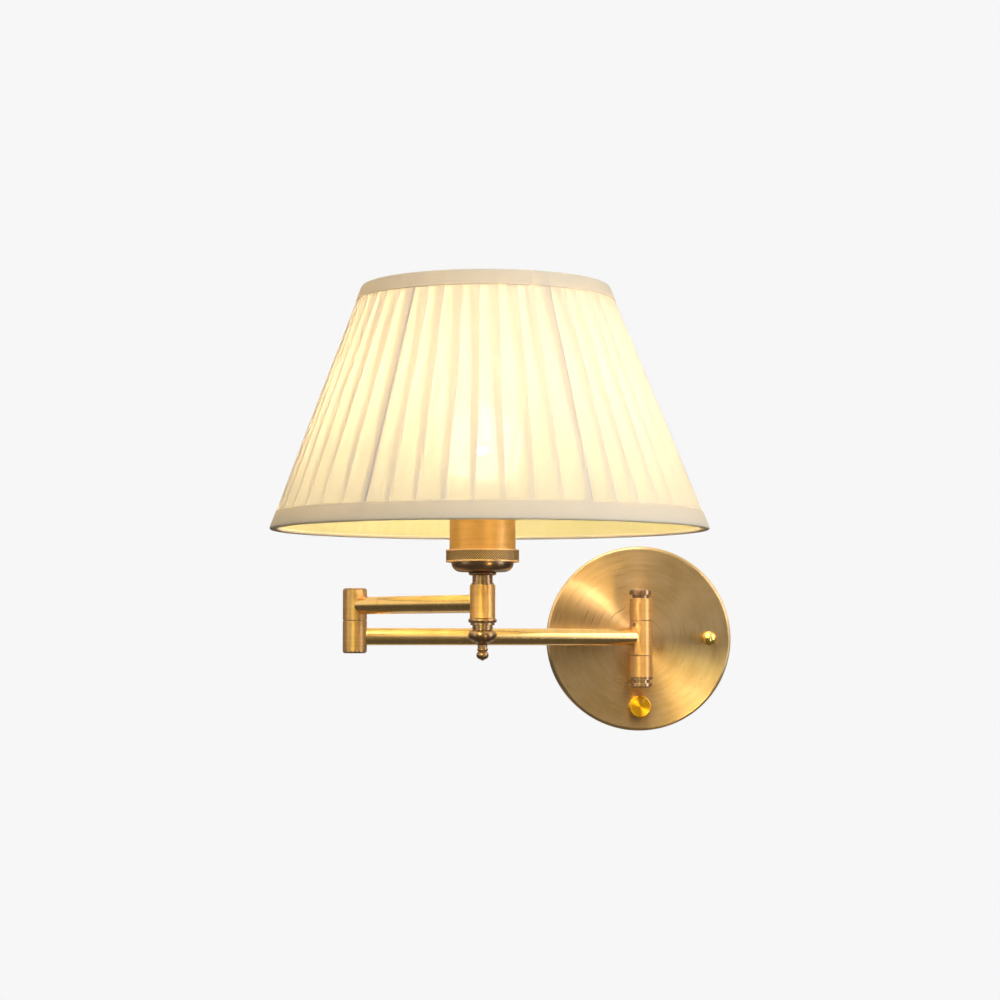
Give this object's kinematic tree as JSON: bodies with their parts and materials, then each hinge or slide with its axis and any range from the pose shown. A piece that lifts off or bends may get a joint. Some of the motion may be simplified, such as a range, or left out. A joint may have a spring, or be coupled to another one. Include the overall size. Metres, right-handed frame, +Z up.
{
  "type": "swing arm wall sconce",
  "caption": "Wall lamp with a round backplate, a two-part swing arm in brushed brass, a rotary dimmer knob and a pleated empire shade.",
  "frame": {"origin": "centre of the crossbar's back face, on the wall", "axes": "+X right along the wall as seen from the room, +Y into the wall, +Z up"},
  "size_m": [0.2792, 0.3254, 0.2593],
  "materials": {
    "antique_brass": "brushed, aged, lacquered",
    "dark_brass": "turned, dark aged",
    "polished_brass": "polished",
    "zinc_steel": "bright zinc plate",
    "nylon": "matt",
    "black_plastic": "matt moulded",
    "white_ceramic": "glazed",
    "contact_metal": "nickel-plated",
    "frame_wire": "white dipped",
    "pleated_cloth": "pleated, translucent",
    "lining_cloth": "smooth",
    "trim_tape": "ribbed tape",
    "bulb_glass": "pearl",
    "filament": "bright"
  },
  "bodies": {
    "wall_bracket": {"backplate_cover": "antique_brass", "wall_crossbar": "zinc_steel", "canopy_studs": "zinc_steel", "canopy_nuts": "polished_brass", "upper_stub": "antique_brass", "lower_stub": "antique_brass", "stub_nuts": "zinc_steel", "terminal_block": "black_plastic", "terminal_screws": "zinc_steel", "earth_screw": "zinc_steel", "dimmer_body": "black_plastic", "dimmer_bush_nut": "zinc_steel", "pivot_pin": "zinc_steel", "upper_collar": "antique_brass", "lower_collar": "antique_brass", "upper_washer": "nylon", "lower_washer": "nylon", "top_cap": "dark_brass", "bottom_cap": "dark_brass"},
    "dimmer_knob": {"dimmer_knob": "polished_brass", "dimmer_shaft": "zinc_steel", "knob_pointer": "polished_brass"},
    "lower_arm": {"swivel_barrel": "antique_brass", "swivel_set_screw": "zinc_steel", "lower_arm_tube": "antique_brass", "elbow_lower_barrel": "antique_brass", "elbow_bottom_cap": "dark_brass", "elbow_pin": "zinc_steel", "elbow_washer": "nylon"},
    "upper_arm": {"elbow_upper_barrel": "antique_brass", "elbow_top_cap": "dark_brass", "upper_arm_tube": "antique_brass", "post_sleeve": "antique_brass", "sleeve_bush": "nylon"},
    "lamp_head": {"head_stem": "zinc_steel", "stem_nut": "zinc_steel", "finial_ring": "dark_brass", "finial": "dark_brass", "post_neck": "dark_brass", "flange_washer": "dark_brass", "socket_dome": "dark_brass", "knurled_ring": "antique_brass", "socket_shell": "antique_brass", "shade_nut": "antique_brass", "socket_insulator": "white_ceramic", "socket_thread": "contact_metal", "centre_contact": "contact_metal", "bulb_cap": "contact_metal", "bulb_contact": "contact_metal", "bulb_glass": "bulb_glass", "bulb_filament": "filament", "fitter_ring": "frame_wire", "spider_arms": "frame_wire", "shade_top_hoop": "frame_wire", "shade_bottom_hoop": "frame_wire", "shade_ribs": "frame_wire", "shade_fabric": "pleated_cloth", "shade_lining": "lining_cloth", "bottom_trim": "trim_tape", "top_trim": "trim_tape"}
  },
  "joints": [
    {"name": "wall_swing", "type": "hinge", "parent": "wall_bracket", "child": "lower_arm", "pos_m": [0, -0.045, 0], "axis": [0, 0, 1], "range_deg": [-25, 155]},
    {"name": "elbow_fold", "type": "hinge", "parent": "lower_arm", "child": "upper_arm", "pos_m": [-0.17582, -0.12699, 0.0104], "axis": [0, 0, 1], "range_deg": [-281, 58]},
    {"name": "head_swivel", "type": "hinge", "parent": "upper_arm", "child": "lamp_head", "pos_m": [-0.09893, -0.19995, 0.0203], "axis": [0, 0, 1], "range_deg": [-160, 160]},
    {"name": "dimmer_turn", "type": "hinge", "parent": "wall_bracket", "child": "dimmer_knob", "pos_m": [0, -0.0283, -0.0434], "axis": [0, 1, 0], "range_deg": [-180, 120]}
  ]
}
